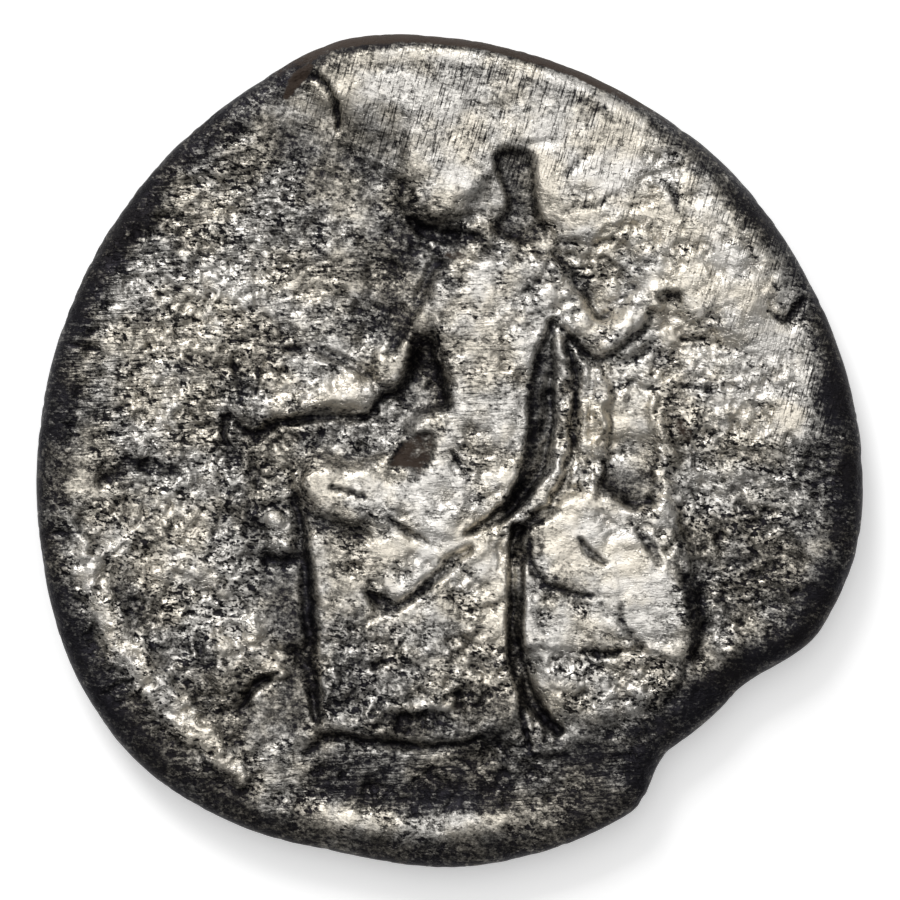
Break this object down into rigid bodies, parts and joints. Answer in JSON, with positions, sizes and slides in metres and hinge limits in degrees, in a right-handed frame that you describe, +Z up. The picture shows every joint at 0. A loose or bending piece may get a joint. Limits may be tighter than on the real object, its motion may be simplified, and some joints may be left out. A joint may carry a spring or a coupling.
{
  "type": "denarius coin",
  "caption": "Worn ancient silver coin: an uneven struck disc with a seated draped figure above and a laurelled head below.",
  "frame": {"origin": "bottom centre of the coin's bounding box, on the surface that it lies on", "axes": "+Z up through the coin's thickness, out of the side with the seated figure; +Y towards the figure's head; +X to the figure's seat"},
  "size_m": [0.018, 0.0182, 0.0016],
  "materials": {
    "silver": "worn tarnished silver, pale on the high parts and near black in the hollows"
  },
  "bodies": {
    "root": {"coin": "silver"}
  },
  "joints": []
}
